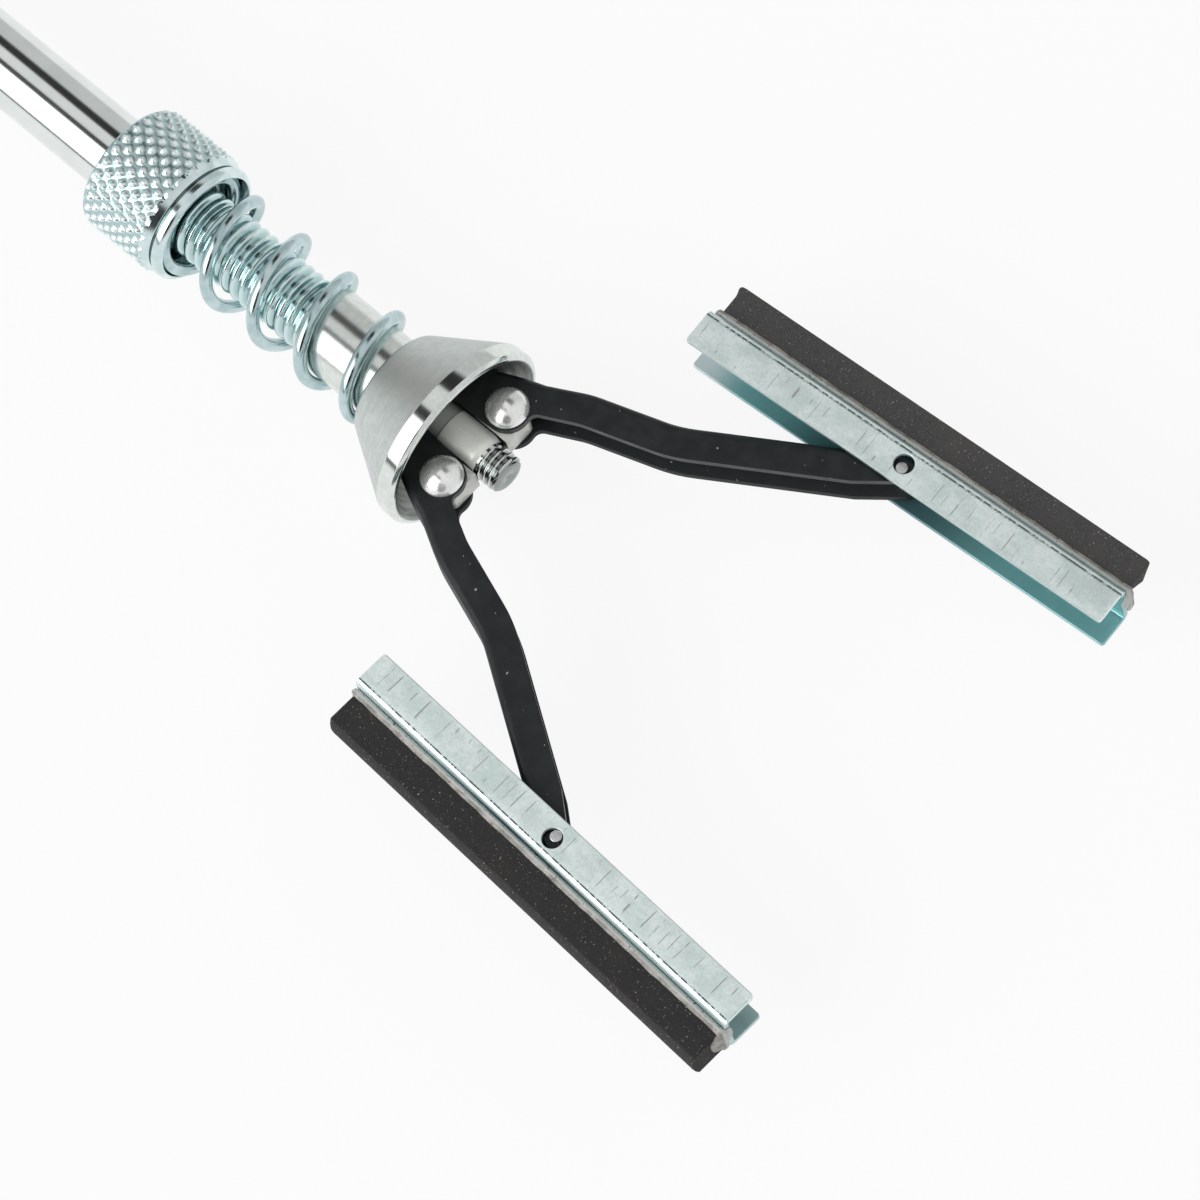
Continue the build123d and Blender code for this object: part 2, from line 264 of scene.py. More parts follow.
def revolved(profile, columns):
    """Profile of (x, radius) carried round the X axis in even steps."""
    angle = np.linspace(0, 2 * np.pi, columns + 1)
    x, radius = np.asarray(profile, float).T
    return round_axis(x[:, None], radius[:, None], angle)


def round_axis(x, radius, angle):
    """Points at the given places along X, radii, and angles from +Y towards +Z."""
    x, radius, angle = np.broadcast_arrays(x, radius, angle)
    return np.stack([x, radius * np.cos(angle), radius * np.sin(angle)], axis=-1)


def smooth_step(t):
    """Rise from 0 to 1 along t * t * (3 - 2 t), level outside."""
    t = np.clip(t, 0, 1)
    return t * t * (3 - 2 * t)


def cap_arc(radius, height, steps):
    """Arc of a round cap as (radius, height above its foot), from its edge to its top."""
    sphere = (radius**2 + height**2) / (2 * height)
    angle = np.linspace(np.arcsin(radius / sphere), 0, steps + 1)
    return np.stack([sphere * np.sin(angle), sphere * (np.cos(angle) - 1) + height], axis=1)


# Turned pieces


def thread_surface(start, end, crest, pitch, depth, run_out, columns, end_round=0.0):
    """Screw thread between two places on the axis.

    The radius is the crest less a round groove, depth * (1 - cos(2 pi phase)) / 2, whose phase runs once a
    pitch along the lines x - pitch * turn, so each row of the grid climbs one pitch in a turn. The groove
    fades out at the start, and at the end too unless the bar ends there in a quarter round, which then
    cuts the crests.
    """
    steps_per_pitch = 16
    turn = np.linspace(0, 1, columns + 1)
    along = np.arange(start - pitch, end + pitch / 2, pitch / steps_per_pitch)
    x = np.clip(along[:, None] + pitch * turn, start, end)
    phase = (x - pitch * turn - start) / pitch
    groove = (1 - np.cos(2 * np.pi * phase)) / 2
    fade = smooth_step((x - start) / run_out)
    radius = crest
    if end_round:
        into = np.clip((x - end + end_round) / end_round, 0, 1)
        radius = crest - end_round * (1 - np.sqrt(1 - into**2))
    else:
        fade = fade * smooth_step((end - x) / run_out)
    return round_axis(x, np.minimum(radius, crest - depth * groove * fade), 2 * np.pi * turn)


def make_shaft():
    """Shank, thread, neck and threaded stud turned in one bar, with a dimple in the stud's end."""
    columns = 72
    shank = softened([
        (shaft_start, 0),
        (shaft_start, shank_radius - shank_chamfer),
        (shaft_start + shank_chamfer, shank_radius),
        (thread_start, shank_radius),
        (thread_start, thread_crest),
    ], shank_round)
    thread = thread_surface(
        thread_start, thread_end, thread_crest, thread_pitch, thread_depth, thread_pitch, columns)
    neck_end = rivet_x - boss_rear - neck_gap
    neck = softened([
        (thread_end, thread_crest),
        (thread_end, neck_radius),
        (neck_end, neck_radius),
        (neck_end, stud_radius),
        (stud_thread_start, stud_radius),
    ], stud_edge_round)
    stud = thread_surface(
        stud_thread_start, shaft_end, stud_radius, stud_pitch, stud_depth, stud_run_out, columns, stud_round)
    tip = [(shaft_end, stud_radius - stud_round), (shaft_end, dimple_radius), (shaft_end - dimple_depth, 0)]
    surfaces = [revolved(shank, columns), thread, revolved(neck, columns), stud, revolved(tip, columns)]
    return make_piece("shaft", surfaces, "root", "shaft_zinc", ["drive_shaft"])


def knurl_height(x, turn):
    """Radius of the knurling, which stands in round beads on a lattice above its valleys.

    A bead's height is depth * sin(pi u)**2 * sin(pi v)**2, where the lines of whole u and of whole v cross
    at opposite slants.
    """
    rounds, steps = knurl_count * turn, (x - nut_start) / knurl_lead
    bead = np.sin(np.pi * (rounds + steps))**2 * np.sin(np.pi * (rounds - steps))**2
    return nut_radius - knurl_depth * (1 - bead)


def make_nut():
    """Nut whose turned profile is cut by the knurling wherever that is lower."""
    columns_per_bead, rows_per_lead = 10, 12
    columns = knurl_count * columns_per_bead
    groove_end = collar_end + lip_groove_width
    groove_radius = collar_radius - lip_groove_depth
    turn = np.linspace(0, 1, columns + 1)
    x = np.arange(nut_start, knurl_end + collar_length / 2, knurl_lead / rows_per_lead)
    chamfered = np.minimum(nut_radius, nut_radius - nut_chamfer + (x - nut_start))
    sloped = nut_radius - (x - knurl_end) * (nut_radius - collar_radius) / collar_length
    turned = np.minimum(chamfered, sloped)[:, None]
    knurled = round_axis(x[:, None], np.minimum(turned, knurl_height(x[:, None], turn)), 2 * np.pi * turn)
    front = softened([
        (x[-1], turned[-1, 0]),
        (collar_end, collar_radius),
        (collar_end, groove_radius),
        (groove_end, groove_radius),
        (groove_end, lip_radius),
        (nut_end - lip_round, lip_radius),
        (nut_end, lip_radius - lip_round),
        (nut_end, recess_radius),
        (recess_floor, recess_radius),
        (recess_floor, nut_bore),
        (nut_start, nut_bore),
        (nut_start, nut_radius - nut_chamfer),
    ], [0, 0.3, 0.03, 0.03, 0.15, 0.3, 0.3, 0.12, 0.2, 0.05, 0.2, 0])
    surfaces = [knurled, revolved(front, columns)]
    return make_piece("nut", surfaces, "nut", "nut_zinc", ["knurled_nut"], crease=28)


def spring_advance(turn):
    """Share of the span that the wire has gained: nothing on the closed rear end, evenly in between."""
    working = spring_turns - closed_turns
    full = working - ramp_turns
    after = np.clip(turn - closed_turns, 0, working)
    before_end = working - after
    rising = after**2 / (2 * ramp_turns)
    falling = full - before_end**2 / (2 * ramp_turns)
    even = after - ramp_turns / 2
    return np.select([after < ramp_turns, before_end < ramp_turns], [rising, falling], even) / full


def wire_between(first_turn, last_turn):
    """Round wire along the helix, as circles across the line of its centres, closed at both ends."""
    rings_per_turn = 72
    round_points = 25
    rings = round((last_turn - first_turn) * rings_per_turn)
    turn = np.linspace(first_turn, last_turn, rings + 1)
    angle = np.radians(spring_angle) + 2 * np.pi * turn
    low, high = spring_start + wire_radius, spring_end - wire_radius
    coil_radius = coil_outer_radius - wire_radius
    centre = round_axis(low + (high - low) * spring_advance(turn), coil_radius, angle)
    along = np.gradient(centre, axis=0)
    along /= np.linalg.norm(along, axis=1, keepdims=True)
    outward = round_axis(0, 1, angle)
    across = np.cross(along, outward)
    side = np.linspace(0, 2 * np.pi, round_points)[:, None]
    ring = wire_radius * (np.cos(side) * outward[:, None] + np.sin(side) * across[:, None])
    flat_start = np.repeat(centre[:1, None], round_points, axis=1)
    flat_end = np.repeat(centre[-1:, None], round_points, axis=1)
    return np.concatenate([flat_start, centre[:, None] + ring, flat_end])


def make_spring():
    """Spring in two halves: the rear one is pressed by the nut and the front one by the cup.

    The halves meet at a share of the length, and the turn there is the first of many even steps past it.
    """
    samples = 2001
    turns = np.linspace(0, spring_turns, samples)
    split_turn = turns[np.searchsorted(spring_advance(turns), split_share)]
    split_x = spring_start + (spring_end - spring_start) * split_share
    rear_wire = wire_between(0, split_turn)
    front_wire = wire_between(split_turn, spring_turns)
    rear = make_piece("spring_rear", [rear_wire], "spring", "spring_wire", ["compression_spring"])
    front = make_piece("spring_front", [front_wire], "root", "spring_wire")
    rear_end, middle, front_end = [(x * MM, 0, 0) for x in (spring_start, split_x, spring_end)]
    return rear, front, rear_end, middle, front_end


def make_cup():
    """Sleeve and bell turned in one, with a cone outside and inside the bell."""
    floor = cup_front - (mouth_radius - floor_radius) / cone_slope
    profile = softened([
        (floor, floor_radius),
        (floor, cup_bore),
        (cup_start, cup_bore),
        (cup_start, sleeve_radius),
        (shoulder_x, sleeve_radius),
        (shoulder_x, seat_radius),
        (shoulder_x + shoulder_length, shoulder_radius),
        (band_x, rim_radius),
        (cup_front - lip_chamfer, rim_radius),
        (cup_front, rim_radius - lip_chamfer),
        (cup_front, mouth_radius),
        (floor, floor_radius),
    ], [0, 0.1, 0.15, 0.2, 0.1, 0.3, 0.45, 0.12, 0.12, 0.12, 0.1, 0])
    return make_piece("cup", [revolved(profile, columns=192)], "cup", "cup_zinc", ["thrust_cup"], crease=25)


def slab(outline, half, ease):
    """Plate between -half and half along Z.

    The outline is drawn in towards its middle by the ease at both faces, which are gathered to that point.
    """
    middle = outline.mean(axis=0)
    inward = middle - outline
    inward /= np.linalg.norm(inward, axis=1, keepdims=True)
    slight = 0.3 * ease
    upper = [
        (np.broadcast_to(middle, outline.shape), half),
        (outline + inward * ease, half),
        (outline + inward * slight, half - slight),
        (outline, half - ease),
    ]
    rings = upper + [(ring, -z) for ring, z in upper[::-1]]
    return np.stack([np.column_stack([ring, np.full(len(ring), z)]) for ring, z in rings])


def make_hub():
    """Turned boss between the two halves of a cross plate, which stop just short of it."""
    boss = softened([
        (rivet_x - boss_rear, 0),
        (rivet_x - boss_rear, boss_radius),
        (rivet_x + boss_front, boss_radius),
        (rivet_x + boss_front, 0),
    ], [0, boss_rear_round, boss_round, 0], steps=8)
    half_outline = softened([
        (rivet_x, plate_inner),
        (rivet_x + plate_front, plate_inner),
        (rivet_x + plate_front, plate_outer),
        (rivet_x - plate_rear, plate_outer),
        (rivet_x - plate_rear, plate_inner),
        (rivet_x, plate_inner),
    ], [0, plate_inner_round, plate_corner, plate_corner, plate_inner_round, 0])
    halves = [slab(half_outline * (1, sign), plate_half, plate_ease) for sign in (1, -1)]
    return make_piece("hub_block", [revolved(boss, columns=96), *halves], "root", "hub_steel", ["hub"])


# Rivets and pins, turned about upright axes


def upright(profile, x, y, columns):
    """Profile of (radius, z) carried round an upright line."""
    angle = np.linspace(0, 2 * np.pi, columns + 1)
    radius, z = np.asarray(profile, float).T
    radius, z = radius[:, None], z[:, None]
    return np.stack(np.broadcast_arrays(x + radius * np.cos(angle), y + radius * np.sin(angle), z), axis=-1)


def make_rivet(side, sign):
    """Shank with a domed head at each end, which stands on a low straight edge."""
    seat = rivet_top - rivet_head_height
    shank = 1.25
    edge = 0.12
    dome = cap_arc(rivet_head_radius, rivet_head_height - edge, steps=20) + (0, seat + edge)
    top = np.concatenate([[(shank, 0), (shank, seat), (rivet_head_radius, seat)], dome])
    bottom = top * (1, -1)
    profile = np.concatenate([bottom[::-1], top[1:]])
    surface = upright(profile, rivet_x, sign * rivet_y, columns=64)
    return make_piece(f"{side}_rivet_dome", [surface], "root", "rivet_steel", [f"{side}_rivet"], crease=50)


def make_pin(side, sign):
    """Plain pin with eased edges."""
    edge_round = 0.12
    corners = [(0, -pin_top), (pin_radius, -pin_top), (pin_radius, pin_top), (0, pin_top)]
    surface = upright(softened(corners, edge_round), pin_x, sign * pin_y, columns=32)
    return make_piece(f"{side}_pin", [surface], f"{side}_arm_body", "pin_steel", [f"{side}_pivot_pin"])


# Pieces carried by the pins


def turned_about_pin(points, side, sign):
    """Points given from the pin, turned by the holder's angle, placed, and mirrored for the right side."""
    angle = np.radians(holder_turn[side])
    x, y, z = np.moveaxis(points, -1, 0)
    along = pin_x + x * np.cos(angle) - y * np.sin(angle)
    across = pin_y + x * np.sin(angle) + y * np.cos(angle)
    return np.stack([along, sign * across, z], axis=-1)


def ripple(x, waves, seed):
    """Sum of a few sines with random phases, between about -1 and 1."""
    random = np.random.default_rng(seed)
    sines = [np.sin(2 * np.pi * x / wave + random.uniform(0, widest_phase)) for wave in waves]
    return sum(sines) / len(waves)


def bar_rows(rows, first_share, drawn):
    """Share of a bar's length at each of its rows, and the share by which the row is drawn to its middle.

    The outermost rows are drawn to a point and close the ends, and the two next to them round the edges.
    """
    rear = np.array([0, 0, 0.002, 0.006])
    shares = np.concatenate([rear, np.linspace(first_share, 1 - first_share, rows), 1 - rear[::-1]])
    inward = np.concatenate([[1, *drawn, 0], np.zeros(rows), [0, *drawn[::-1], 1]])
    return shares, inward


def carried(along, section, inward, end_shift):
    """Section of (y, z) carried along X, drawn to its middle at the ends, with its rows shifted there."""
    middle = (section.max(axis=-2, keepdims=True) + section.min(axis=-2, keepdims=True)) / 2
    shaped = section + (middle - section) * inward[:, None, None]
    x = along[:, None] + end_shift
    return np.concatenate([np.broadcast_to(x, shaped.shape[:2])[..., None], shaped], axis=-1)


def left_stone_wear(shares, section):
    """Shift along X of the left stone's points, which fades out within a small share from each end.

    The rear end has a round upper corner and is hollow below it. The front end leans back towards its
    lower side, under a worn corner.
    """
    fade_share = 0.02
    corner, corner_reach = 0.65, 0.9
    hollow, hollow_start, hollow_reach = 0.3, 0.4, 1.3
    worn, worn_reach = 0.35, 0.5
    lean = 0.9
    below_top = bed_top + stone_thickness - section[:, 0]
    lower = (stone_width / 2 - section[:, 1]) / stone_width
    rear = (corner * smooth_step(1 - below_top / corner_reach)**2
            + hollow * smooth_step((below_top - hollow_start) / hollow_reach))
    front = worn * np.clip(1 - below_top / worn_reach, 0, 1) + lean * lower
    near_start = np.clip(1 - shares / fade_share, 0, 1)[:, None]
    near_end = np.clip(1 - (1 - shares) / fade_share, 0, 1)[:, None]
    return near_start * rear - near_end * front


def make_stone(side, sign):
    """Stick whose section is a crowned box, carried along X. The right one has plain square ends."""
    half = stone_width / 2
    edge_gap, edge_round = 0.15, 0.05
    side_points, crown_points = 12, 13
    crown = np.linspace(half, -half, crown_points)
    face = np.stack([bed_top + stone_thickness - stone_crown * (crown / half)**2, crown], axis=1)
    heights = np.linspace(bed_top + edge_gap, face[0, 0] - edge_gap, side_points)
    up_side = np.column_stack([heights, np.full(side_points, half)])
    start_foot = [(bed_top, 0), (bed_top, half)]
    end_foot = [(bed_top, -half), (bed_top, 0)]
    corners = np.concatenate([start_foot, up_side, face, up_side[::-1] * (1, -1), end_foot])
    section = softened(corners, edge_round, steps=3)
    shares, inward = bar_rows(33, 0.02, (0.05, 0.015))
    wear = left_stone_wear(shares, section) if side == "left" else 0
    start = holder_middle + stone_shift - stone_length / 2
    points = carried(start + stone_length * shares, section[None], inward, wear)
    surface = turned_about_pin(points, side, sign)
    return make_piece(f"{side}_hone_stone", [surface], f"{side}_stone_body", "abrasive", [f"{side}_stone"])


def lump(centre, reach, seed):
    """Blob about a centre given from the pin: an ellipsoid whose radius varies by waves over its angles."""
    unevenness = 0.22
    random = np.random.default_rng(seed)
    height = np.linspace(-np.pi / 2, np.pi / 2, 25)[:, None]
    angle = np.linspace(0, 2 * np.pi, 41)
    swell = 0
    for around, upwards in ((2, 3), (3, 4), (5, 6)):
        ring_wave = np.sin(around * angle + random.uniform(0, widest_phase))
        height_wave = np.sin(upwards * height + random.uniform(0, widest_phase))
        swell = swell + ring_wave * height_wave / around
    size = 1 + unevenness * swell * np.cos(height)
    ball = np.stack(np.broadcast_arrays(
        np.cos(height) * np.cos(angle), np.cos(height) * np.sin(angle), np.sin(height)), axis=-1)
    return np.array(centre) + np.array(reach) * ball * size[..., None]


def make_bed(side, sign):
    """Strip of adhesive between the holder and the stone, with a wavy smear up the stone's sides.

    Its section bulges between a foot set in from the holder's edge and the stone. Lumps hang over the
    holder's front end, larger on the right side, which has a small one at the rear end too.
    """
    bulge = holder_back + 0.4
    smear_top = bed_top + 0.12
    smear_reach, smear_wave, side_wave = 0.5, 0.05, 0.02
    half = [(holder_back, 0), (holder_back, 2.25), (holder_back + 0.1, 2.5), (bulge, 2.62),
            (bed_top - 0.08, 2.36), (smear_top, 2.22), (smear_top, 0)]
    other = [(y, -z) for y, z in half[-2::-1]]
    section = softened(half + other, 0.12, steps=4)
    length = stone_length + 2 * bed_overhang
    start = holder_middle + stone_shift - length / 2
    shares, inward = bar_rows(201, 0.01, (0.3, 0.1))
    along = start + length * shares
    shaped = np.repeat(section[None], len(along), axis=0)
    climb = smooth_step((section[:, 0] - bulge) / smear_reach)
    smear = smear_wave * ripple(along, (3.1, 5.3, 11.0), seed=3 + sign) - smear_wave
    shaped[..., 0] += climb * smear[:, None]
    shaped[..., 1] *= 1 + side_wave * ripple(along, (1.9, 4.3), seed=5 + sign)[:, None]
    strip = carried(along, shaped, inward, 0)
    front = holder_front + 0.02
    lumps = [lump((front, holder_back - 0.15, 0.4), (0.22, 0.6, 1.6), seed=2 + sign)]
    if side == "left":
        lumps.append(lump((front - 0.1, bed_top - 0.2, 0.6), (0.32, 0.45, 1.5), seed=8 + sign))
    else:
        lumps.append(lump((front - 0.1, bed_top + 0.2, 0.3), (0.3, 1.0, 1.9), seed=8 + sign))
        lumps.append(lump((start + 0.1, holder_back + 0.35, 1.4), (0.4, 0.4, 1.0), seed=4))
    surfaces = [turned_about_pin(part, side, sign) for part in (strip, *lumps)]
    nodes = [f"{side}_adhesive_bed"]
    return make_piece(f"{side}_adhesive", surfaces, f"{side}_stone_body", "adhesive", nodes, crease=60)


def make_bevelled(node, name, body, slot, bevel, crease=25):
    """Copy of a node's solid with its flat faces joined and its edges eased by a small bevel."""
    flat_within = np.radians(0.5)
    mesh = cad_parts[node].data.copy()
    mesh.materials.clear()
    work = bmesh.new()
    work.from_mesh(mesh)
    bmesh.ops.remove_doubles(work, verts=work.verts, dist=merge_distance)
    bmesh.ops.dissolve_limit(work, angle_limit=flat_within, verts=work.verts, edges=work.edges)
    shade_and_keep(work, mesh, crease)
    piece = place_piece(name, mesh, body, slot, [node])
    easing = piece.modifiers.new("eased_edges", "BEVEL")
    easing.limit_method = "ANGLE"
    easing.angle_limit = np.radians(crease)
    easing.width = bevel * MM
    easing.segments = 3
    easing.harden_normals = True
    return piece


# Material helpers

# Levels of a noise between which its pattern rises from none to full
steep = (0.35, 0.65)
usual = (0.35, 0.7)
gentle = (0.3, 0.7)

# Waves a millimetre of the fine rings that turning leaves
turning_marks = (5, 0.12, 0.12)


def new_material(name, color, metallic, roughness, specular=0.5):
    """Material with plain looks, its tree, and the object's own coordinates in millimetres."""
    material = bpy.data.materials.new(name)
    material.use_nodes = True
    tree = material.node_tree
    look(tree, "Base Color", color)
    look(tree, "Metallic", metallic)
    look(tree, "Roughness", roughness)
    look(tree, "Specular IOR Level", specular)
    return material, tree, object_place(tree)


def look(tree, name, value):
    """Sets or links one of the looks of the material's surface."""
    feed(tree, tree.nodes["Principled BSDF"].inputs[name], value)


def feed(tree, socket, value):
    """Sets a socket to a number or a colour, or links it to another socket."""
    if isinstance(value, bpy.types.NodeSocket):
        tree.links.new(value, socket)
    elif isinstance(value, tuple) and len(socket.default_value) == 4:
        socket.default_value = (*value, 1)
    else:
        socket.default_value = value


def object_place(tree):
    """The object's own coordinates in millimetres."""
    node = tree.nodes.new("ShaderNodeTexCoord")
    scaled = tree.nodes.new("ShaderNodeVectorMath")
    scaled.operation = "SCALE"
    scaled.inputs["Scale"].default_value = 1 / MM
    tree.links.new(node.outputs["Object"], scaled.inputs[0])
    return scaled.outputs[0]


def holder_place(tree, place, side, sign):
    """A place turned back about the pin, so that its coordinates run squarely along the holder."""
    back = tree.nodes.new("ShaderNodeVectorRotate")
    back.rotation_type = "Z_AXIS"
    back.inputs["Center"].default_value = (pin_x, sign * pin_y, 0)
    back.inputs["Angle"].default_value = np.radians(-sign * holder_turn[side])
    tree.links.new(place, back.inputs["Vector"])
    return back.outputs[0]


def split(tree, place):
    """The three coordinates of a place."""
    node = tree.nodes.new("ShaderNodeSeparateXYZ")
    tree.links.new(place, node.inputs[0])
    return node.outputs[0], node.outputs[1], node.outputs[2]


def calc(tree, operation, *values):
    """Result of one operation on numbers or sockets."""
    node = tree.nodes.new("ShaderNodeMath")
    node.operation = operation
    for socket, value in zip(node.inputs, values):
        feed(tree, socket, value)
    return node.outputs[0]


def times(tree, first, second):
    return calc(tree, "MULTIPLY", first, second)


def apart(tree, first, second):
    """Distance between two numbers."""
    return calc(tree, "ABSOLUTE", calc(tree, "SUBTRACT", first, second))


def rise(tree, value, low, high):
    """Smooth rise from 0 where the value is low to 1 where it is high."""
    node = tree.nodes.new("ShaderNodeMapRange")
    node.interpolation_type = "SMOOTHSTEP"
    feed(tree, node.inputs["Value"], value)
    node.inputs["From Min"].default_value = min(low, high)
    node.inputs["From Max"].default_value = max(low, high)
    node.inputs["To Min"].default_value = float(low > high)
    node.inputs["To Max"].default_value = float(low < high)
    return node.outputs[0]


def past(tree, value, edge, blur):
    """1 where the value is past an edge and 0 short of it, with a blur on either side."""
    return rise(tree, value, edge - blur, edge + blur)


def short_of(tree, value, edge, blur):
    """1 where the value is short of an edge and 0 past it, with a blur on either side."""
    return rise(tree, value, edge + blur, edge - blur)


def mixed(tree, share, first, second):
    """Colour between two colours by a share."""
    node = tree.nodes.new("ShaderNodeMix")
    node.data_type = "RGBA"
    feed(tree, node.inputs[0], share)
    feed(tree, node.inputs[6], first)
    feed(tree, node.inputs[7], second)
    return node.outputs[2]


def between(tree, share, first, second):
    """Number between two numbers by a share."""
    node = tree.nodes.new("ShaderNodeMix")
    feed(tree, node.inputs[0], share)
    feed(tree, node.inputs[2], first)
    feed(tree, node.inputs[3], second)
    return node.outputs[0]


def noise(tree, place, waves, detail, roughness=0.5):
    """Noise with so many waves a millimetre, alike or with a number of its own along each axis."""
    mapping = tree.nodes.new("ShaderNodeMapping")
    mapping.inputs["Scale"].default_value = np.broadcast_to(waves, 3).tolist()
    texture = tree.nodes.new("ShaderNodeTexNoise")
    texture.inputs["Scale"].default_value = 1
    texture.inputs["Detail"].default_value = detail
    texture.inputs["Roughness"].default_value = roughness
    tree.links.new(place, mapping.inputs["Vector"])
    tree.links.new(mapping.outputs["Vector"], texture.inputs["Vector"])
    return texture.outputs["Fac"]


def add_bump(tree, height, distance):
    """Bump from a height between 0 and 1, whose distance is in millimetres."""
    node = tree.nodes.new("ShaderNodeBump")
    node.inputs["Distance"].default_value = distance * MM
    feed(tree, node.inputs["Height"], height)
    look(tree, "Normal", node.outputs["Normal"])


def distance_from_axis(tree, place):
    """Root of y * y + z * z."""
    y, z = split(tree, place)[1:]
    return calc(tree, "SQRT", calc(tree, "ADD", times(tree, y, y), times(tree, z, z)))


def grey(value):
    return (value, value, value)


# Materials


def plated(name, dark, light, metallic, roughness):
    """Plated steel with faint cloudy blotches and small duller spots."""
    material, tree, place = new_material(name, light, metallic, roughness)
    clouds = noise(tree, place, 0.6, 5)
    spots = noise(tree, place, 2.5, 4)
    look(tree, "Base Color", mixed(tree, rise(tree, clouds, *steep), dark, light))
    dulled = rise(tree, spots, 0.4, 0.7)
    look(tree, "Roughness", between(tree, dulled, roughness * 0.8, roughness * 1.4))
    return material


def nut_plate():
    """Zinc over the nut: pale beads with a painted highlight above grey valleys in painted shade, a clear
    collar, and a groove and recess darkened by painted shade.
    """
    clear, cloudy = (0.76, 0.87, 0.88), (0.60, 0.73, 0.74)
    # Painted highlight on the bead tops and painted shade in the valleys between them.
    bead_highlight_color, valley_shade_color = (0.92, 1.0, 1.0), (0.46, 0.60, 0.61)
    # Painted shade in the groove between collar and lip, and in the recess.
    groove_shade_color, recess_shade_color = (0.14, 0.19, 0.19), (0.48, 0.60, 0.61)
    smooth, rough = 0.17, 0.28
    material, tree, place = new_material("nut_plate", clear, 1.0, smooth)
    x = split(tree, place)[0]
    radius = distance_from_axis(tree, place)
    clouds = noise(tree, place, 0.5, 4)
    plain = mixed(tree, rise(tree, clouds, *steep), cloudy, clear)
    on_bead = rise(tree, radius, nut_radius - knurl_depth, nut_radius - 0.3 * knurl_depth)
    # Painted highlight and shade by height on the knurl.
    beads_lit_and_shaded = mixed(tree, on_bead, valley_shade_color, bead_highlight_color)
    knurled = short_of(tree, x, knurl_end, 0.02)
    off_groove = apart(tree, x, collar_end + lip_groove_width / 2)
    in_groove = short_of(tree, off_groove, lip_groove_width / 2, 0.04)
    inside = rise(tree, radius, recess_radius + 0.15, recess_radius + 0.03)
    past_floor = rise(tree, x, recess_floor - 0.1, recess_floor)
    color = mixed(tree, knurled, plain, beads_lit_and_shaded)
    # Painted shade in the groove.
    color = mixed(tree, in_groove, color, groove_shade_color)
    # Painted shade on the recess's inner walls.
    color = mixed(tree, times(tree, inside, past_floor), color, recess_shade_color)
    look(tree, "Base Color", color)
    look(tree, "Roughness", between(tree, knurled, smooth, rough))
    add_bump(tree, noise(tree, place, turning_marks, 4), 0.001)
    return material


def spring_plate():
    """Blue-green zinc on drawn wire, with painted shade where the coil lies in the nut's recess."""
    dark, light = (0.42, 0.55, 0.57), (0.57, 0.70, 0.72)
    # The recess colour is painted shade for the part of the coil inside the nut's recess.
    recess_shade_color = (0.42, 0.54, 0.55)
    material, tree, place = new_material("spring_plate", (0.70, 0.80, 0.81), 1.0, 0.16)
    x = split(tree, place)[0]
    clouds = noise(tree, place, 0.5, 4)
    scuffs = noise(tree, place, 2, 5)
    wire = mixed(tree, rise(tree, clouds, *steep), dark, light)
    # Painted shade towards the nut's recess.
    in_recess = rise(tree, x, nut_end + 0.3, nut_end - 0.9)
    look(tree, "Base Color", mixed(tree, in_recess, wire, recess_shade_color))
    look(tree, "Roughness", between(tree, rise(tree, scuffs, *usual), 0.13, 0.24))
    return material


def shaft_plate():
    """Bright shank, blue-green thread with painted shade in its grooves, and a dull neck before the hub that
    is darker partly by painted shade.
    """
    shank_dark, shank_light = (0.74, 0.78, 0.76), (0.80, 0.84, 0.83)
    # The groove colours are painted shade in the grooves of the thread and of the stud.
    crest_color, groove_shade_color = (0.66, 0.80, 0.80), (0.42, 0.58, 0.59)
    stud_crest_color, stud_groove_shade_color = (0.74, 0.76, 0.74), (0.30, 0.33, 0.32)
    # The neck's darker olive colour is partly painted shade and reflection from inside the cup.
    neck_partly_shaded_color = (0.50, 0.53, 0.48)
    smooth, dull = 0.14, 0.42
    material, tree, place = new_material("shaft_plate", shank_light, 1.0, smooth)
    x = split(tree, place)[0]
    radius = distance_from_axis(tree, place)
    clouds = noise(tree, place, 0.35, 4)
    shank = mixed(tree, rise(tree, clouds, *gentle), shank_dark, shank_light)
    # Painted shade deepening into the thread's grooves.
    groove = rise(tree, radius, thread_crest, thread_crest - thread_depth)
    thread = mixed(tree, groove, crest_color, groove_shade_color)
    # Painted shade in the stud's grooves.
    stud_groove = rise(tree, radius, stud_radius, stud_radius - 0.8 * stud_depth)
    stud = mixed(tree, stud_groove, stud_crest_color, stud_groove_shade_color)
    past_shank = past(tree, x, thread_start, 0.05)
    past_thread = past(tree, x, thread_end, 0.05)
    past_neck = past(tree, x, rivet_x, 0.2)
    color = mixed(tree, past_shank, shank, thread)
    # The neck takes its partly painted shade and reflection here.
    color = mixed(tree, past_thread, color, neck_partly_shaded_color)
    look(tree, "Base Color", mixed(tree, past_neck, color, stud))
    on_neck = calc(tree, "SUBTRACT", past_thread, past_neck)
    look(tree, "Roughness", between(tree, on_neck, smooth, dull))
    look(tree, "Metallic", between(tree, on_neck, 1.0, 0.4))
    add_bump(tree, noise(tree, place, turning_marks, 4), 0.002)
    return material


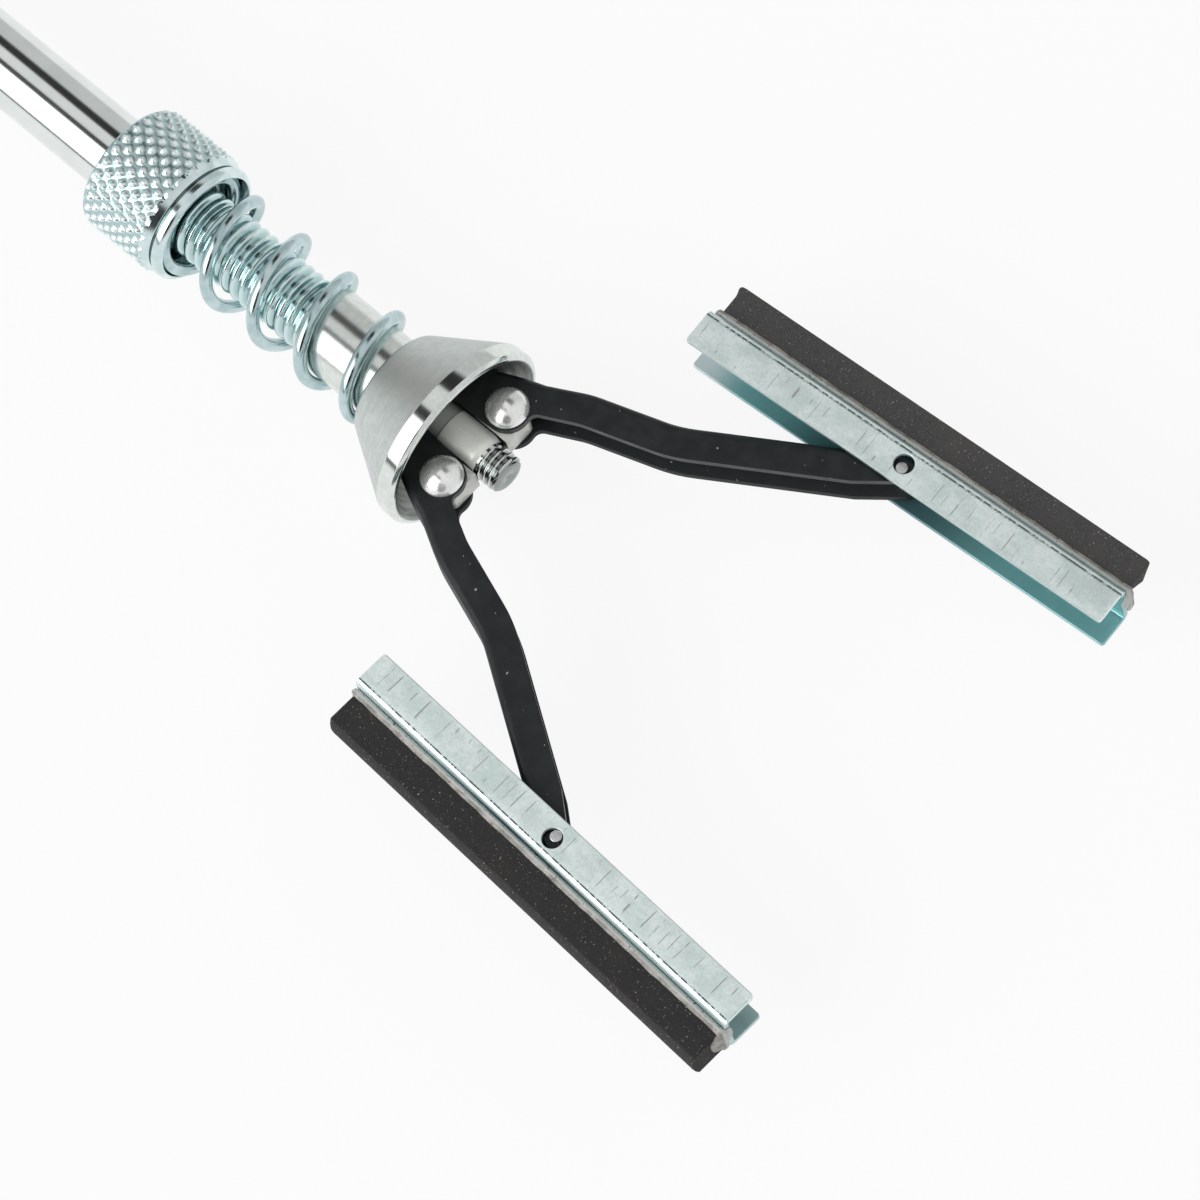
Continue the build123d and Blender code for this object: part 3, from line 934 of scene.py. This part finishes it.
def cup_plate():
    """Satin brushed bell with a faint painted warm reflection, mirror-like rim band and sleeve, scratched
    inner cone darkened by painted shade.
    """
    steel_dark, steel_light = (0.68, 0.72, 0.69), (0.78, 0.82, 0.80)
    brushed_dark, brushed_light = (0.57, 0.61, 0.59), (0.66, 0.70, 0.69)
    # The inner cone's dark colours are painted shade inside the cup.
    inner_shade_dark, inner_shade_light = (0.20, 0.22, 0.21), (0.38, 0.40, 0.38)
    # The warm colour is a painted reflection, darker and warmer, in a band over the top and bottom of the
    # bell.
    warm_reflection_color, streak_color = (0.47, 0.46, 0.43), (0.36, 0.39, 0.37)
    warm_reflection_share, streak_share = 0.7, 0.4
    warm_reflection_y, warm_reflection_reach = -0.7, 4.0
    material, tree, place = new_material("cup_plate", (0.76, 0.79, 0.78), 1.0, 0.3)
    x, y = split(tree, place)[:2]
    radius = distance_from_axis(tree, place)
    cone_offset = float(mouth_radius - cup_front * cone_slope)
    cone_radius = calc(tree, "MULTIPLY_ADD", x, float(cone_slope), cone_offset)
    inside = rise(tree, calc(tree, "SUBTRACT", radius, cone_radius), 0.2, 0.05)
    before_band = short_of(tree, x, band_x, 0.03)
    after_sleeve = rise(tree, x, shoulder_x - 0.02, shoulder_x + 0.1)
    bell = times(tree, before_band, after_sleeve)
    satin = calc(tree, "MAXIMUM", bell, inside)
    rings = noise(tree, place, (6, 0.25, 0.25), 5, 0.7)
    coarse = noise(tree, place, (2.5, 0.2, 0.2), 3)
    rubbed = rise(tree, noise(tree, place, 1.2, 6, 0.7), *usual)
    steel = mixed(tree, rubbed, steel_dark, steel_light)
    brushed = mixed(tree, rubbed, brushed_dark, brushed_light)
    # Painted warm reflection, strongest over the middle of that band.
    warm_reflection = rise(tree, apart(tree, y, warm_reflection_y), warm_reflection_reach, 0)
    brushed = mixed(tree, times(tree, warm_reflection, warm_reflection_share), brushed, warm_reflection_color)
    streaks = rise(tree, rings, 0.55, 0.3)
    brushed = mixed(tree, times(tree, streaks, streak_share), brushed, streak_color)
    # Painted shade over the inner cone.
    inner_shade = mixed(tree, rise(tree, coarse, *usual), inner_shade_dark, inner_shade_light)
    outside = mixed(tree, bell, steel, brushed)
    look(tree, "Base Color", mixed(tree, inside, outside, inner_shade))
    on_sleeve = short_of(tree, x, shoulder_x, 0.1)
    bright = between(tree, on_sleeve, 0.12, 0.22)
    dull = between(tree, rise(tree, rings, *gentle), 0.34, 0.5)
    look(tree, "Roughness", between(tree, satin, bright, dull))
    add_bump(tree, times(tree, rings, satin), 0.02)
    return material


def hub_plate():
    """Matt plated steel with small pits, a paler boss with bright specks, and painted shade in the gaps
    beside it.
    """
    steel_dark, steel_light = (0.66, 0.68, 0.64), (0.80, 0.82, 0.77)
    boss_dark, boss_light = (0.74, 0.76, 0.70), (0.94, 0.96, 0.90)
    plate_metallic, boss_metallic = 0.35, 0.25
    gap_y = plate_inner - 0.06
    material, tree, place = new_material("hub_plate", (0.70, 0.72, 0.68), plate_metallic, 0.5)
    y, z = split(tree, place)[1:]
    from_middle = calc(tree, "ABSOLUTE", y)
    clouds = noise(tree, place, 0.9, 5, 0.6)
    pits = noise(tree, place, 4, 3)
    specks = noise(tree, place, 3, 1)
    steel = mixed(tree, rise(tree, clouds, 0.35, 0.68), steel_dark, steel_light)
    on_boss = short_of(tree, from_middle, plate_inner, 0.05)
    steel = mixed(tree, on_boss, steel, mixed(tree, clouds, boss_dark, boss_light))
    steel = mixed(tree, times(tree, rise(tree, specks, 0.70, 0.74), on_boss), steel, grey(1.0))
    # Painted shade along the narrow gaps between the boss and the plate tops.
    gap_shade = rise(tree, apart(tree, from_middle, gap_y), 0.13, 0.06)
    on_top = rise(tree, z, plate_half + 0.2, plate_half - 0.02)
    # The gaps take a near-black painted shade on the plate tops.
    look(tree, "Base Color", mixed(tree, times(tree, gap_shade, on_top), steel, grey(0.05)))
    look(tree, "Metallic", between(tree, on_boss, plate_metallic, boss_metallic))
    look(tree, "Roughness", between(tree, rise(tree, pits, *gentle), 0.34, 0.5))
    add_bump(tree, pits, 0.015)
    return material


def black_paint():
    """Satin black with faint cloudy wear, fine grain and a few pale specks, duller inside the channel and
    lightened there by painted light.
    """
    dark, light = (0.010, 0.012, 0.013), (0.018, 0.021, 0.022)
    # The inside colour is painted light, a lighter black inside the channel.
    painted_inside_light, dust_color = (0.034, 0.037, 0.039), (0.35, 0.34, 0.33)
    inside_half = 1.6
    material, tree, place = new_material("arm_paint", (0.013, 0.015, 0.016), 0.0, 0.4, specular=0.32)
    z = split(tree, place)[2]
    grain = noise(tree, place, 5, 2)
    wear = rise(tree, noise(tree, place, 0.5, 5), *usual)
    dust = rise(tree, noise(tree, place, 2.2, 1), 0.775, 0.8)
    inside = short_of(tree, calc(tree, "ABSOLUTE", z), inside_half, 0.05)
    below = short_of(tree, z, inside_half, 0.05)
    # Painted light inside the channel.
    paint = mixed(tree, inside, mixed(tree, wear, dark, light), painted_inside_light)
    look(tree, "Base Color", mixed(tree, dust, paint, dust_color))
    satin = between(tree, wear, 0.34, 0.48)
    look(tree, "Roughness", between(tree, below, satin, 0.65))
    add_bump(tree, grain, 0.008)
    return material


def holder_plate(side, sign, reflected_green):
    """Mottled blue-white zinc on sheet, smoother along its bend, with painted green reflected light inside.

    Short dark scratches cross the face, a broken painted dark reflection and a fainter painted shade line
    run along the bend, and the inside has painted shade, darkest beside the arm, and painted light, pale at
    the rear.
    """
    face_dark, face_light, grain_color = (0.72, 0.84, 0.82), (0.90, 1.0, 0.99), (0.50, 0.55, 0.52)
    scratch_color, cut_edge_color = (0.25, 0.24, 0.22), (0.42, 0.48, 0.47)
    # The bend colour is a painted dark reflection along the bend, and the faint colour a painted shade line.
    bend_reflection_color, faint_shade_color = (0.10, 0.16, 0.16), (0.24, 0.32, 0.32)
    # Painted shade beside the arm and painted light at the rear, on the inside.
    shadow_color, rear_light_color = (0.08, 0.18, 0.20), (0.66, 0.76, 0.78)
    bend_line, faint_line = 0.62, 0.25
    grain_share, scratch_share, faint_share = 0.25, 0.7, 0.5
    scratch_spacing, scratch_drift = 1.3, 2.0
    material, tree, place = new_material(f"holder_plate_{side}", (0.86, 0.92, 0.90), 0.6, 0.34)
    place = holder_place(tree, place, side, sign)
    x, y, z = split(tree, place)
    clouds = noise(tree, place, (0.35, 0.5, 0.5), 5, 0.6)
    grain = noise(tree, place, 4, 4)
    brush = noise(tree, place, (7, 0.35, 0.35), 4)
    wander = noise(tree, place, (0.4, 0.02, 0.02), 2)
    gaps = noise(tree, place, (0.75, 0.45, 0.45), 2)
    dashes = noise(tree, place, (2.5, 0.1, 0.1), 3)
    from_back = calc(tree, "SUBTRACT", pin_y + holder_back, calc(tree, "ABSOLUTE", y))
    steps = calc(tree, "MULTIPLY_ADD", wander, scratch_drift, calc(tree, "DIVIDE", x, scratch_spacing))
    off_line = apart(tree, calc(tree, "FRACT", steps), 0.5)
    across = times(tree, rise(tree, from_back, 1.2, 1.7), rise(tree, from_back, 3.9, 3.3))
    scratch = times(tree, rise(tree, off_line, 0.06, 0.02), rise(tree, gaps, 0.47, 0.56))
    scratch = times(tree, times(tree, scratch, across), scratch_share)
    on_bend = rise(tree, apart(tree, from_back, bend_line), 0.12, 0.05)
    # Painted dark reflection, broken, along the bend.
    broken_reflection = times(tree, on_bend, rise(tree, dashes, 0.38, 0.55))
    # Painted faint shade line near the bend.
    faint_shade = times(tree, rise(tree, apart(tree, from_back, faint_line), 0.12, 0.03), faint_share)
    face = mixed(tree, rise(tree, clouds, *steep), face_dark, face_light)
    face = mixed(tree, times(tree, rise(tree, grain, 0.45, 0.65), grain_share), face, grain_color)
    face = mixed(tree, scratch, face, scratch_color)
    face = mixed(tree, broken_reflection, face, bend_reflection_color)
    face = mixed(tree, faint_shade, face, faint_shade_color)
    face = mixed(tree, rise(tree, from_back, 3.9, 4.05), face, cut_edge_color)
    # Painted shade and reflected green light below the top face, darkest beside the arm and pale at the
    # rear.
    lining_light_and_shade = mixed(tree, rise(tree, apart(tree, x, pin_x - 2), 2, 15), shadow_color, reflected_green)
    lining_light_and_shade = mixed(tree, rise(tree, x, pin_x - 19, pin_x - 24), lining_light_and_shade, rear_light_color)
    below = rise(tree, z, holder_top - 0.3, holder_top - 0.55)
    look(tree, "Base Color", mixed(tree, below, face, lining_light_and_shade))
    flat = rise(tree, from_back, 0.5, 1.2)
    rough = between(tree, rise(tree, brush, *gentle), 0.32, 0.46)
    look(tree, "Roughness", between(tree, flat, 0.2, rough))
    add_bump(tree, brush, 0.006)
    return material


def stone_grit(side, level):
    """Dark bonded grit with tiny reddish and whitish grains, at a level of its own on each side, the right
    one's lower level being painted shade.
    """
    fine, coarse = grey(0.7 * level), grey(1.3 * level)
    worn = (1.08 * level, 1.04 * level, level)
    red_grain, white_grain = (0.16, 0.11, 0.09), (0.45, 0.42, 0.40)
    material, tree, place = new_material(f"stone_grit_{side}", grey(level), 0.0, 0.85, specular=0.3)
    grit = noise(tree, place, 7, 3, 0.8)
    clouds = noise(tree, place, 0.3, 3)
    red = rise(tree, noise(tree, place, 4.5, 1), 0.72, 0.76)
    white = rise(tree, noise(tree, place, 5.5, 1), 0.715, 0.75)
    body = mixed(tree, rise(tree, grit, *usual), fine, coarse)
    body = mixed(tree, rise(tree, clouds, 0.4, 0.7), body, worn)
    body = mixed(tree, red, body, red_grain)
    look(tree, "Base Color", mixed(tree, white, body, white_grain))
    add_bump(tree, grit, 0.05)
    return material


def set_adhesive(side, sign):
    """Grey-beige set adhesive with soft lumps and dark specks, and a paler painted highlight beside the
    holder.
    """
    dark, light = (0.19, 0.18, 0.16), (0.42, 0.40, 0.37)
    # The paler foot colour is a painted highlight, like the one on the holder's bend.
    bend_highlight_color, speck_color = (0.48, 0.52, 0.50), (0.06, 0.055, 0.05)
    material, tree, place = new_material(f"set_adhesive_{side}", (0.32, 0.30, 0.27), 0.0, 0.45)
    place = holder_place(tree, place, side, sign)
    y = split(tree, place)[1]
    above_back = calc(tree, "SUBTRACT", calc(tree, "ABSOLUTE", y), pin_y + holder_back)
    lumps = noise(tree, place, 0.9, 5)
    specks = rise(tree, noise(tree, place, 3.5, 2), 0.64, 0.70)
    color = mixed(tree, rise(tree, lumps, *gentle), dark, light)
    # Painted highlight along the foot beside the holder.
    color = mixed(tree, rise(tree, above_back, 0.6, 0.35), color, bend_highlight_color)
    look(tree, "Base Color", mixed(tree, specks, color, speck_color))
    add_bump(tree, lumps, 0.12)
    return material


# Assembly

sides = (("left", 1), ("right", -1))
# The right stone's lower level is painted shade that offsets the key lamp on that side.
stone_level_with_shade = {"left": 0.066, "right": 0.030}
# The green tints of the holders' insides are painted reflected light.
lining_reflected_green = {"left": (0.26, 0.51, 0.52), "right": (0.42, 0.57, 0.57)}
materials = {
    "shaft_zinc": shaft_plate(),
    "nut_zinc": nut_plate(),
    "spring_wire": spring_plate(),
    "cup_zinc": cup_plate(),
    "hub_steel": hub_plate(),
    "rivet_steel": plated("rivet_plate", (0.84, 0.86, 0.83), (0.97, 0.98, 0.96), 0.7, 0.22),
    "pin_steel": plated("pin_plate", grey(0.6), grey(0.7), 1.0, 0.3),
    "arm_black": black_paint(),
}
side_materials = {
    side: {
        "holder_zinc": holder_plate(side, sign, lining_reflected_green[side]),
        "adhesive": set_adhesive(side, sign),
        "abrasive": stone_grit(side, stone_level_with_shade[side]),
    }
    for side, sign in sides
}

arm_bevel = 0.1
holder_bevel = 0.08
pieces = [make_shaft(), make_nut(), make_cup()]
spring_rear, spring_front, rear_end, middle, front_end = make_spring()
pieces += [spring_rear, spring_front, make_hub()]
for side, sign in sides:
    arm_body, stone_body = f"{side}_arm_body", f"{side}_stone_body"
    holder_node = f"{side}_stone_holder"
    pieces.append(make_rivet(side, sign))
    pieces.append(make_pin(side, sign))
    pieces.append(make_bevelled(f"{side}_arm", f"{side}_arm_channel", arm_body, "arm_black", arm_bevel))
    pieces.append(make_bevelled(holder_node, f"{side}_holder", stone_body, "holder_zinc", holder_bevel))
    pieces.append(make_bed(side, sign))
    pieces.append(make_stone(side, sign))
for piece in pieces:
    slot = piece["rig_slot"]
    own = side_materials.get(piece.name.split("_")[0], {})
    piece.data.materials.append(own.get(slot) or materials[slot])

for half in (spring_rear, spring_front):
    half.parent = None
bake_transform(spring_rear)
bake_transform(spring_front)


# Floor, light and camera


def make_floor():
    """Pale floor just under the tool, which keeps its shadow and looks near white, in reflections too."""
    reach, gap = 2000, 0.2
    floor_level, white_share = 0.85, 0.88
    mesh = bpy.data.meshes.new("floor")
    height = cad_box[0][2] - gap * MM
    corners = [(x * reach * MM, y * reach * MM, height) for x, y in ((-1, -1), (1, -1), (1, 1), (-1, 1))]
    mesh.from_pydata(corners, [], [(0, 1, 2, 3)])
    floor = bpy.data.objects.new("floor", mesh)
    bpy.context.scene.collection.objects.link(floor)
    material = bpy.data.materials.new("floor_white")
    material.use_nodes = True
    tree = material.node_tree
    tree.nodes.clear()
    output = tree.nodes.new("ShaderNodeOutputMaterial")
    matt = tree.nodes.new("ShaderNodeBsdfDiffuse")
    matt.inputs["Color"].default_value = (*grey(floor_level), 1)
    glow = tree.nodes.new("ShaderNodeEmission")
    glow.inputs["Color"].default_value = (*grey(1), 1)
    ray = tree.nodes.new("ShaderNodeLightPath")
    seen = calc(tree, "MAXIMUM", ray.outputs["Is Camera Ray"], ray.outputs["Is Glossy Ray"])
    mix = tree.nodes.new("ShaderNodeMixShader")
    tree.links.new(times(tree, seen, white_share), mix.inputs["Fac"])
    tree.links.new(matt.outputs[0], mix.inputs[1])
    tree.links.new(glow.outputs[0], mix.inputs[2])
    tree.links.new(mix.outputs[0], output.inputs["Surface"])
    mesh.materials.append(material)


def make_world():
    """Studio of long soft boxes beside the tool, as brightness along the angle round the tool's axis.

    The angle runs from the horizon at +Y over the top to the horizon at -Y. The dark gaps between the
    boxes draw the dark lines that run along bright turned metal. Both ends of the room are evenly lit,
    and one dark thing stands low in front of the tool.
    """
    half_turn = 180
    dark = 0.03
    boxes = [
        (0, 0.62), (46, 0.62), (51, dark), (71, dark), (74, 0.80), (100, 0.80),
        (102, dark), (114, dark), (117, 2.3), (171, 2.3), (173, 0.05), (177, 0.05), (180, 0.8),
    ]
    shank_side, shank_side_level = (-0.5, -0.8), 0.55
    stone_side, stone_side_level = (0.05, 0.3), 0.75
    dark_thing_aim, dark_thing_edge = (0.506, -0.702, 0.498), (0.90, 0.96)
    world = bpy.data.worlds.new("studio")
    bpy.context.scene.world = world
    world.use_nodes = True
    tree = world.node_tree
    view = tree.nodes.new("ShaderNodeTexCoord").outputs["Generated"]
    x, y, z = split(tree, view)
    turn_share = calc(tree, "DIVIDE", calc(tree, "ARCTAN2", z, y), float(np.pi))
    node = tree.nodes.new("ShaderNodeValToRGB")
    elements = node.color_ramp.elements
    while len(elements) < len(boxes):
        elements.new(0.5)
    for element, (place, level) in zip(elements, boxes):
        element.position = place / half_turn
        element.color = (*grey(level), 1)
    tree.links.new(turn_share, node.inputs["Fac"])
    around = mixed(tree, rise(tree, x, *shank_side), node.outputs["Color"], grey(shank_side_level))
    around = mixed(tree, rise(tree, x, *stone_side), around, grey(stone_side_level))
    aim = tree.nodes.new("ShaderNodeVectorMath")
    aim.operation = "DOT_PRODUCT"
    aim.inputs[1].default_value = Vector(dark_thing_aim).normalized()
    tree.links.new(view, aim.inputs[0])
    around = mixed(tree, rise(tree, aim.outputs["Value"], *dark_thing_edge), around, grey(dark))
    tree.links.new(around, tree.nodes["Background"].inputs["Color"])


def make_lamp(name, place, aim, size, power):
    """Soft oblong lamp turned towards its aim, with its place, aim and size in metres."""
    light = bpy.data.lights.new(name, "AREA")
    light.shape = "RECTANGLE"
    light.size, light.size_y = size
    light.energy = power
    lamp = bpy.data.objects.new(name, light)
    lamp.location = place
    lamp.rotation_euler = (Vector(aim) - Vector(place)).to_track_quat("-Z", "Y").to_euler()
    bpy.context.scene.collection.objects.link(lamp)


def make_camera():
    """Long lens looking down on the tool, given by its bearing, height, roll, aim and distance."""
    bearing, height, roll = np.radians((-29.26, 67.52, -19.17))
    past_rivets, aside, higher = 60, -31.76, 21.66
    distance = 562.78
    away = np.array([np.cos(height) * np.cos(bearing), np.cos(height) * np.sin(bearing), np.sin(height)])
    level = np.cross((0, 0, 1), away)
    level /= np.linalg.norm(level)
    upward = np.cross(away, level)
    right = np.cos(roll) * level + np.sin(roll) * upward
    up = np.cos(roll) * upward - np.sin(roll) * level
    target = np.array([rivet_x + past_rivets, 0, 0]) + aside * right + higher * up
    place = (target + distance * away) * MM
    data = bpy.data.cameras.new("camera")
    data.lens = 180
    data.sensor_width = 36
    camera = bpy.data.objects.new("camera", data)
    camera.matrix_world = Matrix((
        (right[0], up[0], away[0], place[0]),
        (right[1], up[1], away[1], place[1]),
        (right[2], up[2], away[2], place[2]),
        (0, 0, 0, 1),
    ))
    bpy.context.scene.collection.objects.link(camera)
    bpy.context.scene.camera = camera


make_floor()
make_world()
make_lamp("key", place=(0.0, -0.55, 0.35), aim=(0.09, 0, 0), size=(0.5, 0.3), power=1.0)
make_camera()
bpy.context.scene.view_settings.view_transform = "Standard"
